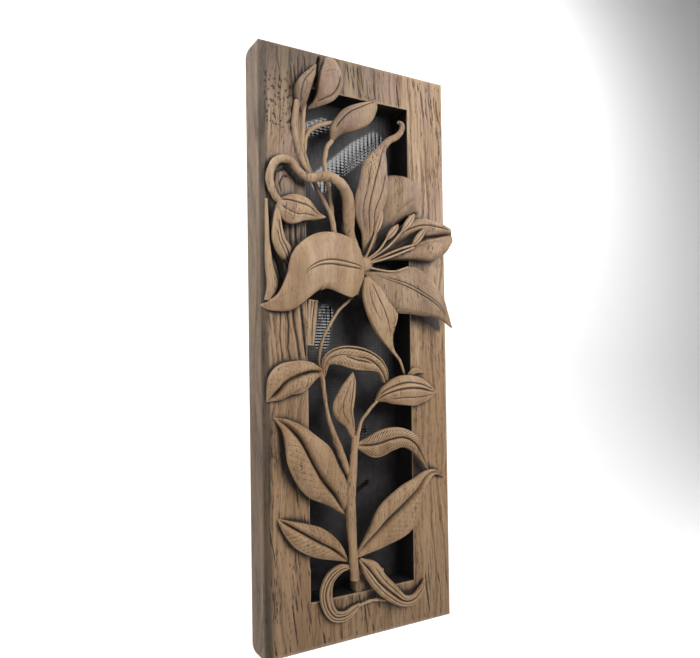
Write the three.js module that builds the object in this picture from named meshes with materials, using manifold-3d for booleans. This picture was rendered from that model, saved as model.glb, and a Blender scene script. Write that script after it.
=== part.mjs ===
// A carved oak wall panel: an upright plank with a window cut through it, a lily carved in openwork
// across the window from the same wood, and a dark ground board let into a rebate in the back.
import * as THREE from 'three';
import { mergeVertices } from 'three/addons/utils/BufferGeometryUtils.js';
import Module from 'manifold-3d';

// ---- driving dimensions, millimetres ------------------------------------------------------------

const plank = { width: 186, height: 500, thick: 34 };
const frontChamfer = 3;
const backRound = { side: 4, end: 12 };
const opening = { left: -53.5, right: 51, bottom: -210, top: 217.5 };
const rebate = { lip: 6, depth: 9 };
const ground = { thick: 8, gap: 0.3 };
const hangingPointBelowTop = 20;
const stump = { left: -9, right: 20, bottom: -225, top: -195, back: -14, front: -1 };
const stemSides = 6;
const filament = { radius: 0.9, sides: 4, steps: 3 };
const anther = { radius: 3.2, around: 6, rows: 4 };
const throat = { at: [5, 74, -4], radii: [9, 6, 8], around: 10, rows: 6 };
const cutBeyond = 1; // how far a cutter stands past the face it opens

// How every blade is shaped between its edges and towards its ends.
const bladeForm = {
  leastHalfWidth: 0.4, // where it runs out to a point
  fullRelief: 1.3, // times its width over its greatest width, and never more than 1
  endThickness: 0.4, // share of its thickness left at a point
  rimThickness: 0.5, // share of its thickness left along its edges
  backFollows: 0.5, // share of the front's swell that the back's middle follows
  backEdge: 0.9, // how far across the back face reaches
  facets: { narrow: 2, wide: 3, lobed: 4, wideFrom: 20 }, // facets on each side of the spine
};

// ---- the carving ----------------------------------------------------------------------------------
// Each blade follows a spine of [right of centre, above centre, in front of the face], from its base to
// its tip. left and right are its half widths at those points, seen from the front along the spine.
// dome swells the whole blade, lobes swells each half beside a sunk midrib, cup lifts both edges.

const petals = {
  leftPetal: {
    spine: [[2, 68, -2], [-12, 70, 6], [-38, 71, 13], [-56, 66, 15], [-69, 53, 13], [-80, 42, 9],
      [-88, 36, 4], [-94, 34, -2]],
    left: [22, 27, 22, 22, 18, 15.5, 8, 1],
    right: [8, 22, 25, 20, 10, 3.5, 2, 1],
    dome: 3, thick: 5, steps: 14,
  },
  upperRightPetal: {
    spine: [[11, 83, -6], [18, 94, -6], [30, 113, -3], [41, 130, 1], [51, 139, 3], [66, 144, -1]],
    left: [3, 6, 18, 28, 19, 5],
    right: [3, 5, 9, 15, 18, 6],
    dome: 3, thick: 6, steps: 9,
  },
  upperPetal: {
    spine: [[6, 77, -4], [6, 99, 3], [4, 118, 8], [8, 138, 11], [13, 158, 11], [18, 173, 9],
      [26, 183, 7], [36, 189, 5], [43, 196, 3], [45, 203, 1], [41, 205, -1]],
    left: [3, 7, 15, 15, 14.5, 5.5, 3.2, 3, 2.6, 2.4, 1.5],
    right: [5, 9, 13, 15, 9, 4, 3.2, 3, 2.6, 2.4, 1.5],
    dome: 4, thick: 4, steps: 17,
  },
  rightPetal: {
    spine: [[4, 74, -1], [25, 83, 0], [43, 91, 2], [60, 98, 8], [75, 101, 14], [86, 103, 16]],
    left: [1, 8, 17, 19, 13, 6],
    right: [1, 6, 13, 20, 18, 8],
    cup: 3, lobes: 5, thick: 4, steps: 10,
  },
  lowerPetal: {
    spine: [[6, 62, 0], [10, 44, 5], [19, 25, 7], [25, 10, 5], [30, -2, 3], [38, -12, 2], [44, -26, 1]],
    left: [6, 22, 15.8, 4.2, 1.5, 1.3, 1.2],
    right: [4, 12, 14, 9, 2.5, 1.3, 1.2],
    dome: 3, thick: 4, steps: 13,
  },
  lowerRightPetal: {
    spine: [[3, 66, -2], [13, 64, 3], [25, 60, 7], [41, 54, 12], [55, 46, 16], [67, 38, 19],
      [75, 29, 20], [83, 17.5, 20]],
    left: [1, 3, 8, 20, 17, 11, 5, 0.5],
    right: [1, 10, 20, 25, 19, 13, 6, 0.5],
    dome: 3, thick: 4, steps: 12,
  },
};

const buds = {
  topBudLeftHalf: {
    spine: [[-56, 197, 0], [-57, 207, 5], [-55, 217, 8], [-49, 227, 7], [-43, 238, 1]],
    left: [2, 6, 7, 5, 1],
    right: [2, 5, 5, 3, 1],
    dome: 3, thick: 14, steps: 7,
  },
  topBudRightHalf: {
    spine: [[-50, 200, 0], [-45, 206, 5], [-38, 216, 9], [-32, 230, 7], [-29, 245, 1]],
    left: [1, 2, 7, 8, 5],
    right: [1, 6, 12, 13, 8],
    dome: 3, thick: 14, steps: 7,
  },
  middleBud: {
    spine: [[-27, 177, -2], [-23, 186, 2], [-14, 195, 7], [-1, 204, 8], [9, 212, 6], [17, 219, 3]],
    left: [1.5, 7, 10, 8, 4, 0.5],
    right: [1.5, 6, 11, 12, 8, 0.5],
    dome: 4, thick: 7, steps: 10,
  },
  leftBud: {
    spine: [[-79, 118, 1], [-71, 116, 7], [-59, 114, 9], [-48, 110, 8], [-38, 109, 6]],
    left: [4, 9, 9, 4, 0.5],
    right: [8, 15, 12, 5, 0.5],
    dome: 4, thick: 12, steps: 8,
  },
  rightBud: {
    spine: [[12, -47, 0], [21, -41, 5], [35, -38, 9], [51, -38, 9], [65, -40, 6], [79, -41, 2]],
    left: [1, 8, 13, 12, 8, 0.5],
    right: [1, 9, 13, 14, 9, 0.5],
    dome: 4, thick: 12, steps: 9,
  },
  rightBudTip: {
    spine: [[43, -28, 4], [53, -21, 4], [66, -23, 1]],
    left: [1, 3, 0.5],
    right: [1, 3, 0.5],
    thick: 3, steps: 5,
  },
};

const leaves = {
  dropLeaf: {
    spine: [[-79, 116, 2], [-81, 101, 6], [-80, 87, 7], [-74, 76, 6], [-70, 66, 3]],
    left: [2, 3, 5, 6, 0.5],
    right: [2, 4, 6, 6, 0.5],
    dome: 2, thick: 7, steps: 8,
  },
  railBlade: {
    spine: [[-89, 120, 1], [-89, 95, 2], [-89, 69, 3], [-87, 51, 4], [-90, 38, 3]],
    left: [1, 2, 4, 6, 3],
    right: [1, 1.5, 2, 3, 2],
    dome: 1, thick: 6, steps: 8,
  },
  windowStalk: {
    spine: [[-48, 40, 1], [-50, 22, 2], [-51, 2, 1]],
    left: [5, 5, 4],
    right: [4, 5, 4],
    dome: 1, thick: 8, steps: 4,
  },
  archLeaf: {
    spine: [[-37, -24, -2], [-36, -11, 1], [-25, -6, 4], [-9, -8, 6], [5, -12, 6], [16, -20, 4], [24, -33, 1]],
    left: [1, 4, 7, 9, 8, 7, 3],
    right: [1, 5, 9, 11, 9, 4, 3],
    lobes: 2, dome: 1, thick: 4, steps: 13,
  },
  leftLeaf: {
    spine: [[-38, -20, -2], [-52, -20, 2], [-65, -23, 6], [-76, -28, 6], [-84, -36, 4], [-91, -43, 1]],
    left: [2, 10, 14, 12, 8, 0.5],
    right: [2, 9, 13, 15, 10, 0.5],
    lobes: 3, dome: 1, thick: 8, steps: 9,
  },
  centreLeaf: {
    spine: [[-10, -78, 0], [-14, -65, 2], [-20, -52, 5], [-18, -40, 5], [-14, -29, 4], [-12, -21, 3]],
    left: [2, 6, 12, 9, 5, 0.5],
    right: [2, 4, 8, 7.7, 5.2, 0.5],
    dome: 2, thick: 4, steps: 10,
  },
  archedRightLeaf: {
    spine: [[-10, -84, 0], [8, -84, 3], [22, -80, 8], [33, -79, 12], [44, -85, 13], [55, -98, 10], [66, -114, 4]],
    left: [1, 9, 10, 8, 7, 4, 0.5],
    right: [1, 12, 11, 9, 7, 4, 0.5],
    lobes: 2, dome: 2, thick: 4, steps: 13,
  },
  lowerRightLeaf: {
    spine: [[-13, -180, 2], [4, -163, 4], [19, -148, 8], [35, -135, 11], [48, -126, 11], [59, -117, 9],
      [72, -114, 6], [86, -120, 2]],
    left: [1, 6.5, 14, 14, 11, 6, 2.5, 0.5],
    right: [1, 16, 25, 23, 11, 6, 2.5, 0.5],
    lobes: 4, dome: 1, thick: 4, steps: 14,
  },
  bigLeftLeaf: {
    spine: [[-21, -140, 2], [-33, -124, 5], [-47, -108, 8], [-58, -90, 10], [-66, -74, 8], [-75, -63, 5], [-85, -56, 1]],
    left: [2, 10, 18, 19, 14, 6.5, 0.5],
    right: [3, 16, 20, 20, 12, 6, 0.5],
    lobes: 4, dome: 2, thick: 5, steps: 13,
  },
  lowerLeftLeaf: {
    spine: [[-19, -181, 2], [-33, -169, 4], [-49, -159, 6], [-63, -150, 6], [-74, -143, 4], [-83, -137, 1]],
    left: [1, 9, 13, 13, 8, 0.5],
    right: [1, 8, 11, 8, 4, 0.5],
    lobes: 3, dome: 1, thick: 4, steps: 11,
  },
  curlLeaf: {
    spine: [[-16, -186, 3], [-28, -186, 5], [-38, -192, 5], [-43, -203, 5], [-41, -215, 5], [-34, -224, 5],
      [-23, -226, 4], [-14, -222, 4], [-8, -219, 3]],
    left: [1.5, 3.5, 5.5, 7.5, 7, 5.5, 4, 3, 1],
    right: [1.5, 4, 4, 3.5, 3.5, 4, 4, 3, 1],
    dome: 1, thick: 6, steps: 16,
  },
  bottomRightLeaf: {
    spine: [[-8, -181, 3], [0, -191, 6], [9, -203, 8], [21, -214, 9], [34, -223, 8], [47, -224, 6],
      [57, -217, 4], [61, -210, 2]],
    left: [2, 9.5, 9, 8, 5, 4, 3, 0.5],
    right: [2, 6, 7, 7, 5, 4.5, 3, 0.5],
    lobes: 2, dome: 1, thick: 6, steps: 14,
  },
};

// Stems are round rods: a spine as above and a radius at each of its points.
const stems = {
  flowerStem: {
    spine: [[-74, 117, 1], [-82, 123, 2], [-87, 135, 3], [-85, 146, 4], [-79, 152, 5], [-70, 152, 6],
      [-64, 145, 7], [-56, 139, 9], [-47, 140, 12], [-37, 141, 13], [-27, 136, 13], [-20, 127, 11],
      [-17, 113, 8], [-15, 99, 4], [-8, 86, 0]],
    radii: [2.5, 3, 3.2, 3.2, 3.2, 3.2, 3.2, 3.4, 3.8, 4.2, 4.6, 5, 5.2, 5.2, 5],
    steps: 20,
  },
  topStemLeft: {
    spine: [[-61, 204, 2], [-63, 185, 1], [-60, 165, 0], [-54, 151, 0], [-49, 142, 2]],
    radii: [2.5, 2.8, 2.8, 2.5, 2],
    steps: 7,
  },
  topStemRight: {
    spine: [[-54, 203, 0], [-55, 185, -1], [-55, 166, -2], [-49, 151, -3], [-44, 140, -3], [-37, 127, -2],
      [-30, 113, 0], [-29, 96, 4]],
    radii: [2, 2.4, 2.4, 2.2, 2, 2, 2.2, 2.4],
    steps: 11,
  },
  middleStem: {
    spine: [[-27, 177, -1], [-31, 171, -3], [-33, 160, -4], [-33, 149, -3], [-31, 137, -2], [-29, 122, -1],
      [-28, 110, 0]],
    radii: [1.8, 2, 2, 2, 2, 2, 2],
    steps: 9,
  },
  thinArc: {
    spine: [[-53, 165, -3], [-50, 179, -4], [-43, 186.5, -3], [-33, 191, -2], [-24, 192.5, 0]],
    radii: [1.9, 2.1, 2.1, 2, 1.9],
    steps: 8,
  },
  lowerBranch: {
    spine: [[4, 66, -4], [-5, 46, -7], [-18, 33, -9], [-30, 16, -9], [-38, 0, -7], [-40, -14, -4], [-38, -30, -3],
      [-36, -48, -2], [-33, -63, -1], [-27.5, -80, 0], [-21, -97, 1], [-16, -112, 2]],
    radii: [1.3, 1.3, 1.3, 1.4, 1.6, 2, 1.9, 1.7, 2.2, 3, 3.2, 3],
    steps: 15,
  },
  rightBudStem: {
    spine: [[13, -47, 1], [6, -54, 0], [-2, -63, 0], [-6, -74, 0], [-10, -90, 1]],
    radii: [1.3, 1.4, 1.5, 1.8, 2.2],
    steps: 7,
  },
  mainStem: {
    spine: [[-10, -76, 0], [-12, -95, 2], [-16, -115, 3], [-17, -139, 4], [-16, -159, 4], [-15, -177, 4],
      [-13, -197, 3]],
    radii: [2.2, 3.4, 5, 4.7, 4.1, 3.9, 4],
    steps: 10,
  },
  footRidge: {
    spine: [[-10, -220, 3], [4, -218, 3], [17, -220, 4]],
    radii: [1.2, 1.2, 1.2],
    steps: 3,
  },
};

// Stamens fan out of the throat: where each thin filament leaves, bends and ends, and how long its
// pollen head is beyond that end. The pistil and two spent filaments have no head.
const stamens = [
  { path: [[3, 76, -1], [6, 87, 5], [10, 99, 7]], head: [16, 119, 9] },
  { path: [[4, 76, -1], [14, 85, 6], [21, 95, 8]], head: [32, 108, 10] },
  { path: [[6, 76, -1], [22, 88, 8], [36, 103, 11]], head: [49, 119, 11] },
  { path: [[6, 74, -1], [31, 86, 10], [46, 91, 13]], head: [58, 106, 15] },
  { path: [[4, 73, -1], [23, 79, 9], [47, 89, 13]] },
  { path: [[4, 71, -1], [26, 67, 8], [41, 71, 12]] },
];

// ---- building -------------------------------------------------------------------------------------

const wasm = await Module();
wasm.setup();

const originHeight = plank.height / 2 - hangingPointBelowTop;
const outward = new THREE.Vector3(0, -1, 0);

/** A point of the carving in the part's frame: the back of the plank is y = 0 and the face looks along -Y. */
function place([right, up, out]) {
  return new THREE.Vector3(right, -plank.thick - out, up - originHeight);
}

/** Joins rings of points, each a closed loop of the same length, into one closed body. */
function loft(rings) {
  const sides = rings[0].length;
  const points = rings.flat();
  const faces = [];
  for (let i = 0; i + 1 < rings.length; i++) {
    for (let j = 0; j < sides; j++) {
      const a = i * sides + j;
      const b = i * sides + (j + 1) % sides;
      faces.push(a, b, a + sides, b, b + sides, a + sides);
    }
  }
  for (const [ring, turn] of [[0, -1], [rings.length - 1, 1]]) {
    const middle = points.length;
    const sum = new THREE.Vector3();
    rings[ring].forEach((p) => sum.add(p));
    points.push(sum.divideScalar(sides));
    for (let j = 0; j < sides; j++) {
      const a = ring * sides + j;
      const b = ring * sides + (j + 1) % sides;
      faces.push(...(turn > 0 ? [a, b, middle] : [b, a, middle]));
    }
  }
  return new THREE.BufferGeometry().setFromPoints(points).setIndex(faces);
}

/** A smooth curve through points, and the axes across it: normal faces the front, side is to its left. */
function stations(spine, steps) {
  const curve = new THREE.CatmullRomCurve3(spine.map(place), false, 'catmullrom');
  return Array.from({ length: steps + 1 }, (_, i) => {
    const at = i / steps;
    const along = curve.getTangent(at);
    const normal = outward.clone().addScaledVector(along, -outward.dot(along)).normalize();
    return { at, point: curve.getPoint(at), normal, side: normal.clone().cross(along) };
  });
}

/** Values given at the points of a spine, read smoothly anywhere along it. */
function along(...lists) {
  const rows = lists[0].map((_, i) => new THREE.Vector3(lists[0][i], (lists[1] ?? lists[0])[i], 0));
  return new THREE.CatmullRomCurve3(rows, false, 'catmullrom');
}

/** A leaf, petal or bud: a curved blade with a shaped front and a plain back. */
function blade({ spine, left, right, dome = 0, lobes = 0, cup = 0, thick, steps }) {
  const { leastHalfWidth, fullRelief, endThickness, rimThickness, backFollows, backEdge, facets } = bladeForm;
  const widths = along(left, right);
  const widest = Math.max(...left.map((l, i) => l + right[i]));
  const halfSteps = lobes ? facets.lobed : widest > facets.wideFrom ? facets.wide : facets.narrow;
  const across = Array.from({ length: 2 * halfSteps + 1 }, (_, i) => i / halfSteps - 1);
  const acrossBack = [backEdge, 0, -backEdge];
  return loft(stations(spine, steps).map(({ at, point, normal, side }) => {
    const width = widths.getPoint(at);
    const l = Math.max(width.x, leastHalfWidth);
    const r = Math.max(width.y, leastHalfWidth);
    const full = Math.min(1, fullRelief * (l + r) / widest);
    const body = thick * (endThickness + (1 - endThickness) * full);
    const front = (u) => full * (dome * (1 - u * u) + lobes * 4 * Math.abs(u) * (1 - Math.abs(u)) + cup * u * u);
    const back = (u) => {
      const arch = 1 - u * u;
      return front(u) * (1 - backFollows * arch) - body * (rimThickness + (1 - rimThickness) * arch);
    };
    const spot = (u, height) => point.clone().addScaledVector(side, u > 0 ? u * l : u * r)
      .addScaledVector(normal, height);
    return [...across.map((u) => spot(u, front(u))), ...acrossBack.map((u) => spot(u, back(u)))];
  }));
}

/** A round rod along a spine, with its own radius at each point. */
function rod({ spine, radii, steps }, sides = stemSides) {
  const radius = along(radii);
  return loft(stations(spine, steps).map(({ at, point, normal, side }) => {
    const r = radius.getPoint(at).x;
    return Array.from({ length: sides }, (_, k) => {
      const turn = 2 * Math.PI * k / sides;
      return point.clone().addScaledVector(side, -r * Math.cos(turn)).addScaledVector(normal, r * Math.sin(turn));
    });
  }));
}

/** A pollen head: a slim ellipsoid from the end of its filament to its tip. */
function pollenHead(from, to) {
  const [a, b] = [place(from), place(to)];
  const turn = new THREE.Quaternion().setFromUnitVectors(new THREE.Vector3(0, 1, 0), b.clone().sub(a).normalize());
  return new THREE.SphereGeometry(1, anther.around, anther.rows)
    .scale(anther.radius, a.distanceTo(b) / 2 + 1, anther.radius)
    .applyQuaternion(turn).translate(...a.add(b).multiplyScalar(0.5).toArray());
}

/** A box between two corners given as [right, up, out]. */
function block(low, high) {
  const [a, b] = [place(low), place(high)];
  const size = b.clone().sub(a);
  const box = new THREE.BoxGeometry(Math.abs(size.x), Math.abs(size.y), Math.abs(size.z));
  return box.translate(...a.add(b).multiplyScalar(0.5).toArray());
}

/** The plank's body: rectangles at rising depths, drawn in by the front chamfer and the back rounding. */
function plankBody() {
  const drawnIn = (radius, fromBack) => {
    const into = Math.max(0, radius - fromBack);
    return radius - Math.sqrt(radius * radius - into * into);
  };
  const roundSteps = 5;
  const roundDepths = Array.from({ length: roundSteps + 1 }, (_, i) =>
    backRound.end * (1 - Math.sin(Math.PI / 2 * i / roundSteps)));
  const sections = [
    { fromBack: plank.thick, x: frontChamfer, z: frontChamfer },
    { fromBack: plank.thick - frontChamfer, x: 0, z: 0 },
    ...roundDepths.map((d) => ({ fromBack: d, x: drawnIn(backRound.side, d), z: drawnIn(backRound.end, d) })),
  ];
  return loft(sections.map(({ fromBack, x, z }) => {
    const [w, h] = [plank.width / 2 - x, plank.height / 2 - z];
    return [[-w, -h], [-w, h], [w, h], [w, -h]].map(([a, b]) => place([a, b, fromBack - plank.thick]));
  }));
}

/** A solid that manifold-3d can join and cut, from a closed geometry. */
function solid(geometry) {
  geometry.deleteAttribute('normal');
  geometry.deleteAttribute('uv');
  const merged = mergeVertices(geometry, 1e-4);
  const mesh = new wasm.Mesh({
    numProp: 3,
    vertProperties: new Float32Array(merged.attributes.position.array),
    triVerts: new Uint32Array(merged.index.array),
  });
  const body = new wasm.Manifold(mesh);
  if (body.volume() > 0) return body;
  mesh.triVerts = mesh.triVerts.map((_, i, all) => all[i % 3 === 0 ? i : i % 3 === 1 ? i + 1 : i - 1]);
  return new wasm.Manifold(mesh);
}

/** A geometry for three.js from a manifold-3d solid. */
function geometryOf(body) {
  const { vertProperties, triVerts, numProp } = body.getMesh();
  const points = new Float32Array(vertProperties.length / numProp * 3);
  for (let i = 0; i < points.length; i++) points[i] = vertProperties[Math.floor(i / 3) * numProp + i % 3];
  const geometry = new THREE.BufferGeometry();
  geometry.setAttribute('position', new THREE.BufferAttribute(points, 3));
  geometry.setIndex([...triVerts]);
  geometry.computeVertexNormals();
  return geometry;
}

// ---- the carved plank -----------------------------------------------------------------------------

const oak = new THREE.MeshStandardMaterial({ color: 0xb39a80, roughness: 0.6, metalness: 0 });
const black = new THREE.MeshStandardMaterial({ color: 0x14121a, roughness: 0.25, metalness: 0 });

function carvedPlank() {
  const through = block(
    [opening.left, opening.bottom, -plank.thick - cutBeyond],
    [opening.right, opening.top, cutBeyond],
  );
  const recess = block(
    [opening.left - rebate.lip, opening.bottom - rebate.lip, -plank.thick - cutBeyond],
    [opening.right + rebate.lip, opening.top + rebate.lip, rebate.depth - plank.thick],
  );
  let body = solid(plankBody()).subtract(solid(through)).subtract(solid(recess));
  body = body.add(solid(block([stump.left, stump.bottom, stump.back], [stump.right, stump.top, stump.front])));
  for (const shape of Object.values({ ...petals, ...buds, ...leaves })) body = body.add(solid(blade(shape)));
  for (const shape of Object.values(stems)) body = body.add(solid(rod(shape)));
  for (const { path, head } of stamens) {
    const radii = path.map(() => filament.radius);
    body = body.add(solid(rod({ spine: path, radii, steps: filament.steps }, filament.sides)));
    if (head) body = body.add(solid(pollenHead(path.at(-1), head)));
  }
  const heart = new THREE.SphereGeometry(1, throat.around, throat.rows).scale(...throat.radii);
  body = body.add(solid(heart.translate(...place(throat.at).toArray())));
  return geometryOf(body);
}

function groundBoard() {
  const edge = rebate.lip - ground.gap;
  const front = rebate.depth - plank.thick - ground.gap;
  return block(
    [opening.left - edge, opening.bottom - edge, front - ground.thick],
    [opening.right + edge, opening.top + edge, front],
  );
}

const panel = new THREE.Group();
for (const [name, geometry, material] of [
  ['carved_oak_panel', carvedPlank(), oak],
  ['backing_panel', groundBoard(), black],
]) {
  const mesh = new THREE.Mesh(geometry, material);
  mesh.name = name;
  panel.add(mesh);
}

export default panel;
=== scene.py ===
"""Looks for the carved oak wall panel: every carved surface with its veins, tool marks and painted shade in
its hollows, the grain of the plank, and the embossed black ground behind the openwork."""
import itertools
import math

import bmesh
import bpy
import numpy as np
from mathutils import Matrix, Vector


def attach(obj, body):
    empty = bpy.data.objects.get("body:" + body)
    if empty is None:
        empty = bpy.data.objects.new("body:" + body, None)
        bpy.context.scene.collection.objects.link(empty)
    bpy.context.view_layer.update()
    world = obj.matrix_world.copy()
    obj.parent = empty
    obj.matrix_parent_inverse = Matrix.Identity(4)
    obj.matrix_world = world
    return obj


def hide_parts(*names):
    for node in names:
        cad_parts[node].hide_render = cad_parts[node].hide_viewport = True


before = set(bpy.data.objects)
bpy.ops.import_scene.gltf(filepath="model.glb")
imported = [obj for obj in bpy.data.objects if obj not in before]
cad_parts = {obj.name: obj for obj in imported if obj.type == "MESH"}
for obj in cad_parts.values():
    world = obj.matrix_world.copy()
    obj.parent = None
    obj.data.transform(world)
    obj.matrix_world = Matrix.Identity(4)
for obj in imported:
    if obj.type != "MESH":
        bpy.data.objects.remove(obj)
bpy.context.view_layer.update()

MM = 0.001

# ---- driving dimensions, millimetres, as in the part's source --------

PLANK = {"width": 186, "height": 500, "thick": 34}
CHAMFER = 3
BACK_ROUND = {"side": 4, "end": 12}
OPENING = {"left": -53.5, "right": 51, "bottom": -210, "top": 217.5}
REBATE = {"lip": 6, "depth": 9}
GROUND = {"thick": 8, "gap": 0.3}
ORIGIN_HEIGHT = PLANK["height"] / 2 - 20
STUMP = {"left": -9, "right": 20, "bottom": -225, "top": -195, "back": -14, "front": -1}
FILAMENT_RADIUS = 0.9
ANTHER_RADIUS = 3.2
THROAT = {"at": (5, 74, -4), "radii": (9, 6, 8)}

# Each blade follows a spine of (right of centre, above centre, in front of the face) from base to tip,
# with its half widths left and right of the spine. dome, lobes and cup shape its front.
PETALS = {
    "left_petal": dict(
        spine=[(2, 68, -2), (-12, 70, 6), (-38, 71, 13), (-56, 66, 15), (-69, 53, 13), (-80, 42, 9),
               (-88, 36, 4), (-94, 34, -2)],
        left=[22, 27, 22, 22, 18, 15.5, 8, 1], right=[8, 22, 25, 20, 10, 3.5, 2, 1],
        dome=3, thick=5, roll=(0.74, 4.5, -0.82, 2), stipple=0.05, fleck=0.1, rings=0.12,
        grooves=[([(0.04, -0.05), (0.3, -0.06), (0.5, 0)], 0.7, 1.1),
                 ([(0.04, 0.02), (0.25, 0.12), (0.5, 0.04)], 0.7, 1.1),
                 ([(0.04, -0.02), (0.28, 0.03), (0.5, 0.02)], 1.0, -0.6)]),
    "upper_right_petal": dict(
        spine=[(11, 83, -6), (18, 94, -6), (30, 113, -3), (41, 130, 1), (51, 139, 3), (66, 144, -1)],
        left=[3, 6, 18, 28, 19, 5], right=[3, 5, 9, 15, 18, 6],
        dome=3, thick=6, roll=(0.8, 2, -0.8, 2), tone=0.78,
        grooves=[([(0.35, 0.35), (0.6, 0.3), (0.85, 0.15)], 3, 0.9),
                 ([(0.3, -0.3), (0.55, -0.25), (0.8, -0.3)], 2, 0.7)]),
    "upper_petal": dict(
        spine=[(6, 77, -4), (6, 99, 3), (4, 118, 8), (8, 138, 11), (13, 158, 11), (18, 173, 9),
               (26, 183, 7), (36, 189, 5), (43, 196, 3), (45, 203, 1), (41, 205, -1)],
        left=[3, 7, 15, 15, 14.5, 5.5, 3.2, 3, 2.6, 2.4, 1.5],
        right=[5, 9, 13, 15, 9, 4, 3.2, 3, 2.6, 2.4, 1.5],
        dome=4, thick=4, roll=(0.8, 2, -0.82, 2), tone=0.86, stipple=0.24,
        grooves=[([(0.08, 0.1), (0.3, 0.2), (0.46, 0.1), (0.6, 0)], 1.0, 1.0),
                 ([(0.05, -0.45), (0.2, -0.3), (0.36, -0.5)], 1.0, 1.2),
                 ([(0.1, 0.6), (0.25, 0.5), (0.4, 0.62)], 1.2, 0.8)]),
    "right_petal": dict(
        spine=[(4, 74, -1), (25, 83, 0), (43, 91, 2), (60, 98, 8), (75, 101, 14), (86, 103, 16)],
        left=[1, 8, 17, 19, 13, 6], right=[1, 6, 13, 20, 18, 8],
        cup=3, lobes=5, thick=4, roll=(0.86, 2, -0.8, 3),
        grooves=[([(0.3, 0.25), (0.5, 0.3), (0.62, 0.22)], 4, 4),
                 ([(0.5, 0.1), (0.75, 0.06), (0.98, 0.1)], 1.2, 2.2),
                 ([(0.5, -0.12), (0.75, -0.12), (0.98, -0.05)], 1.0, -1.0),
                 ([(0.45, 0.7), (0.7, 0.62), (0.95, 0.5)], 1.0, 1.4)]),
    "lower_petal": dict(
        spine=[(6, 62, 0), (10, 44, 5), (19, 25, 7), (25, 10, 5), (30, -2, 3), (38, -12, 2), (44, -26, 1)],
        left=[6, 22, 15.8, 4.2, 1.5, 1.3, 1.2], right=[4, 12, 14, 9, 2.5, 1.3, 1.2],
        dome=3, thick=4, roll=(0.86, 1.4, -0.86, 1.4), rims=(0.5, 0.9),
        grooves=[([(0.05, 0.1), (0.25, 0.1), (0.55, 0)], 1.1, 1.0),
                 ([(0.08, -0.35), (0.2, -0.45), (0.35, -0.4)], 0.9, 0.6)]),
    "lower_right_petal": dict(
        spine=[(3, 66, -2), (13, 64, 3), (25, 60, 7), (41, 54, 12), (55, 46, 16), (67, 38, 19),
               (75, 29, 20), (83, 17.5, 20)],
        left=[1, 3, 8, 20, 17, 11, 5, 0.5], right=[1, 10, 20, 25, 19, 13, 6, 0.5],
        dome=3, thick=4, roll=(0.9, 1, -0.78, 4), tone=0.76, stipple=0.1,
        grooves=[([(0.12, 0.05), (0.5, 0.06), (0.98, 0.1)], 0.65, 1.0),
                 ([(0.12, -0.05), (0.5, -0.06), (0.98, -0.1)], 0.65, 1.0),
                 ([(0.1, 0.0), (0.98, 0.0)], 0.8, -0.5)]),
}

BUDS = {
    "top_bud_left_half": dict(
        spine=[(-56, 197, 0), (-57, 207, 5), (-55, 217, 8), (-49, 227, 7), (-43, 238, 1)],
        left=[2, 6, 7, 5, 1], right=[2, 5, 5, 3, 1], dome=3, thick=14, tone=0.72,
        grooves=[([(0.15, 0.45), (0.5, 0.5), (0.85, 0.3)], 0.8, 0.9)]),
    "top_bud_right_half": dict(
        spine=[(-50, 200, 0), (-45, 206, 5), (-38, 216, 9), (-32, 230, 7), (-29, 245, 1)],
        left=[1, 2, 7, 8, 5], right=[1, 6, 12, 13, 8], dome=3, thick=14, tone=0.76,
        grooves=[([(0.7, 0.9), (0.78, 0.2), (0.84, -0.8)], 0.8, 0.5),
                 ([(0.25, -0.2), (0.5, -0.62), (0.8, -0.7)], 1.0, 1.2)]),
    "middle_bud": dict(
        spine=[(-27, 177, -2), (-23, 186, 2), (-14, 195, 7), (-1, 204, 8), (9, 212, 6), (17, 219, 3)],
        left=[1.5, 7, 10, 8, 4, 0.5], right=[1.5, 6, 11, 12, 8, 0.5],
        dome=4, thick=7, roll=(0.9, 1, -0.85, 2), tone=0.78,
        grooves=[([(0.2, 0.4), (0.45, 0.5), (0.75, 0.45), (0.98, 0.1)], 0.8, 1.4),
                 ([(0.45, -0.6), (0.55, 0.4)], 0.6, 0.35), ([(0.6, -0.7), (0.7, 0.4)], 0.6, 0.35)]),
    "left_bud": dict(
        spine=[(-79, 118, 1), (-71, 116, 7), (-59, 114, 9), (-48, 110, 8), (-38, 109, 6)],
        left=[4, 9, 9, 4, 0.5], right=[8, 15, 12, 5, 0.5], dome=4, thick=12,
        grooves=[([(0.08, 0.35), (0.4, 0.2), (0.95, 0.25)], 0.9, 1.5),
                 ([(0.1, -0.25), (0.4, -0.5), (0.8, -0.4)], 0.9, 0.8)]),
    "right_bud": dict(
        spine=[(12, -47, 0), (21, -41, 5), (35, -38, 9), (51, -38, 9), (65, -40, 6), (79, -41, 2)],
        left=[1, 8, 13, 12, 8, 0.5], right=[1, 9, 13, 14, 9, 0.5], dome=4, thick=12,
        grooves=[([(0.1, 0.5), (0.5, 0.5), (0.9, 0.4)], 0.9, 1.6),
                 ([(0.06, 0.1), (0.5, 0.12), (0.94, 0.1)], 1.0, 2.0),
                 ([(0.3, 0.3), (0.6, 0.3), (0.9, 0.2)], 0.9, -0.8),
                 ([(0.25, -0.5), (0.6, -0.45), (0.9, -0.3)], 1.0, 0.9)]),
    "right_bud_tip": dict(
        spine=[(43, -28, 4), (53, -21, 4), (66, -23, 1)],
        left=[1, 3, 0.5], right=[1, 3, 0.5], thick=3),
}

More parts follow.
